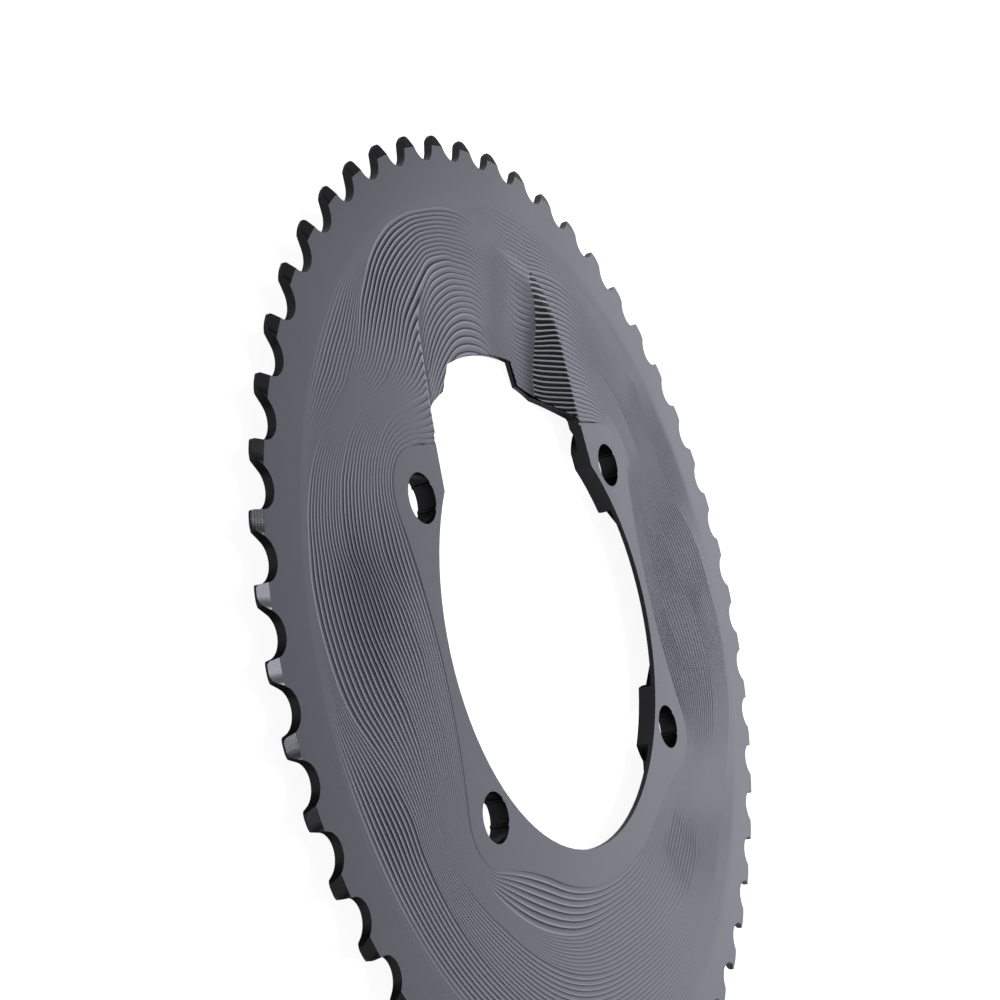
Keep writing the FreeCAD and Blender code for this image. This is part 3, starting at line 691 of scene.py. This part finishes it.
def flank_outline(center, side, flank_deg, tip_round):
    """One side of a tooth gap: a corner out past the rim, then the rounded tip that the flank runs into."""
    swing = math.radians(flank_deg)
    lean = Vector((-math.cos(swing), math.sin(swing) * side))
    flank_way = Vector((-lean.y, lean.x)) * -side
    offset = center + lean * (SEAT_RADIUS + tip_round)
    along = offset.dot(flank_way)
    tip_orbit = TIP_RADIUS - tip_round
    length = math.sqrt(along ** 2 - offset.length_squared + tip_orbit ** 2) - along
    tip_center = offset + flank_way * length
    start, end = math.atan2(tip_center.y, tip_center.x), math.atan2(-lean.y, -lean.x)
    tip_end = tip_center * (TIP_RADIUS / tip_orbit)
    corner = tip_end * ((TIP_RADIUS + CUTTER_OVERRUN) / tip_end.x)
    return [tuple(corner)] + arc_points(tip_center, tip_round, start, end, TIP_STEPS)


def gap_outline():
    """Outline of one tooth gap about the X axis: seat, two flanks and rounded tips, out past the rim."""
    center = Vector((PITCH_RADIUS, 0))
    start, end = math.radians(180 - STEEP_FLANK_DEG), math.radians(180 + OPEN_FLANK_DEG)
    seat = arc_points(center, SEAT_RADIUS, start, end, SEAT_STEPS)
    steep = flank_outline(center, 1, STEEP_FLANK_DEG, STEEP_TIP_ROUND)
    opened = flank_outline(center, -1, OPEN_FLANK_DEG, OPEN_TIP_ROUND)
    return steep + seat + opened[::-1]


def gap_cutter():
    """Closed mesh of the missing gap, standing through the rim."""
    turn = Matrix.Rotation(math.radians(TOOTH_PHASE_DEG + MISSING_GAP * TOOTH_STEP_DEG), 3, "Z")
    outline = [turn @ Vector((x, y, 0)) * MM for x, y in gap_outline()]
    count = len(outline)
    corners = [tuple(point + Vector((0, 0, z))) for z in CUTTER_Z for point in outline]
    sides = [(i, (i + 1) % count, count + (i + 1) % count, count + i) for i in range(count)]
    ends = [tuple(range(count))[::-1], tuple(range(count, 2 * count))]
    mesh = bpy.data.meshes.new("gap_cutter")
    mesh.from_pydata(corners, [], sides + ends)
    shaped = bmesh.new()
    shaped.from_mesh(mesh)
    bmesh.ops.recalc_face_normals(shaped, faces=shaped.faces)
    shaped.to_mesh(mesh)
    shaped.free()
    return mesh


def welded_copy(node):
    """Copy of a solid's mesh in place, with the points of neighbouring faces joined."""
    welded = bmesh.new()
    welded.from_mesh(node.data)
    welded.transform(node.matrix_world)
    bmesh.ops.remove_doubles(welded, verts=welded.verts, dist=WELD_DISTANCE)
    welded.verts.ensure_lookup_table()
    corners = [tuple(vertex.co) for vertex in welded.verts]
    faces = [[vertex.index for vertex in face.verts] for face in welded.faces]
    welded.free()
    mesh = bpy.data.meshes.new("whole_ring")
    mesh.from_pydata(corners, [], faces)
    return mesh


def cut_mesh(whole_mesh, cutter_mesh):
    """Mesh that is left of one closed mesh when another is cut out of it."""
    whole, cutter = (bpy.data.objects.new(mesh.name, mesh) for mesh in (whole_mesh, cutter_mesh))
    for item in (whole, cutter):
        bpy.context.scene.collection.objects.link(item)
    opening = whole.modifiers.new("gap", "BOOLEAN")
    opening.operation = "DIFFERENCE"
    opening.solver = "EXACT"
    opening.object = cutter
    graph = bpy.context.evaluated_depsgraph_get()
    finished = bpy.data.meshes.new_from_object(whole.evaluated_get(graph))
    for item in (whole, cutter):
        bpy.data.objects.remove(item)
    return finished


def make_ring(node, material):
    """The ring with every tooth gap open: the solid lacks the one beside the X axis, so it is cut here."""
    finished = cut_mesh(welded_copy(node), gap_cutter())
    finished.name = "toothed_ring"
    finished.materials.clear()
    finished.materials.append(material)
    finished.shade_smooth()
    finished.set_sharp_from_angle(angle=math.radians(SHARP_EDGE_DEG))
    ring_piece = place_piece("toothed_ring", finished)
    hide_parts("chainring")


def make_camera():
    data = bpy.data.cameras.new("camera")
    data.sensor_width = SENSOR_WIDTH_MM
    data.lens = SENSOR_WIDTH_MM * FOCAL_LENGTH_PX / IMAGE_SIZE_PX
    data.shift_y = CENTRE_DROP_PX / IMAGE_SIZE_PX
    data.clip_start = CLIP_START
    camera = bpy.data.objects.new("camera", data)
    right, up = Vector(CAMERA_RIGHT).normalized(), Vector(CAMERA_UP)
    back = right.cross(up).normalized()
    up = back.cross(right)
    turn = Matrix((right, up, back)).transposed()
    camera.matrix_world = Matrix.Translation(Vector(CAMERA_PLACE_MM) * MM) @ turn.to_4x4()
    bpy.context.scene.collection.objects.link(camera)
    bpy.context.scene.camera = camera


def floor_material():
    """White that stays white in view and keeps the ring's shadow."""
    nodes = Nodes("floor")
    nodes.feed(nodes.shader, "Base Color", FLOOR_WHITE)
    nodes.feed(nodes.shader, "Roughness", 1.0)
    nodes.feed(nodes.shader, "Specular IOR Level", 0.0)
    seen = nodes.add("ShaderNodeLightPath").outputs["Is Camera Ray"]
    nodes.feed(nodes.shader, "Emission Color", (1, 1, 1, 1))
    nodes.feed(nodes.shader, "Emission Strength", nodes.math("MULTIPLY", seen, FLOOR_GLOW))
    return nodes.material


def make_floor(z):
    """Plain floor under the ring."""
    corners = [(-1, -1), (1, -1), (1, 1), (-1, 1)]
    mesh = bpy.data.meshes.new("floor")
    mesh.from_pydata([(x * FLOOR_REACH, y * FLOOR_REACH, z) for x, y in corners], [], [(0, 1, 2, 3)])
    mesh.materials.append(floor_material())
    floor = bpy.data.objects.new("floor", mesh)
    bpy.context.scene.collection.objects.link(floor)


def make_light(name, place, size, watts):
    """Rectangular light aimed at the middle of the ring."""
    data = bpy.data.lights.new(name, "AREA")
    data.shape = "RECTANGLE"
    data.size, data.size_y = size
    data.energy = watts
    data.color = LIGHT_TINT
    light = bpy.data.objects.new(name, data)
    light.location = place
    light.rotation_euler = (-Vector(place)).to_track_quat("-Z", "Y").to_euler()
    bpy.context.scene.collection.objects.link(light)


def make_world():
    """Even light that is weak on the ring and white where the camera sees it."""
    world = bpy.data.worlds.new("studio")
    world.use_nodes = True
    tree = world.node_tree
    background = tree.nodes["Background"]
    background.inputs["Color"].default_value = (1, 1, 1, 1)
    seen = tree.nodes.new("ShaderNodeLightPath")
    level = tree.nodes.new("ShaderNodeMapRange")
    level.inputs["To Min"].default_value = WORLD_LIGHT
    level.inputs["To Max"].default_value = 1.0
    tree.links.new(seen.outputs["Is Camera Ray"], level.inputs["Value"])
    tree.links.new(level.outputs["Result"], background.inputs["Strength"])
    bpy.context.scene.world = world


low_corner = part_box("chainring")[0]
milled_face = skin_material()
make_ring(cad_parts["chainring"], ring_material())
for sector_name, (sector_start, sector_end) in SKIN_SECTORS.items():
    make_skin(sector_name, sector_start, sector_end, milled_face)
make_camera()
make_floor(low_corner[2])
for light_name, light_settings in LIGHTS.items():
    make_light(light_name, *light_settings)
make_world()
bpy.context.scene.view_settings.view_transform = "Standard"
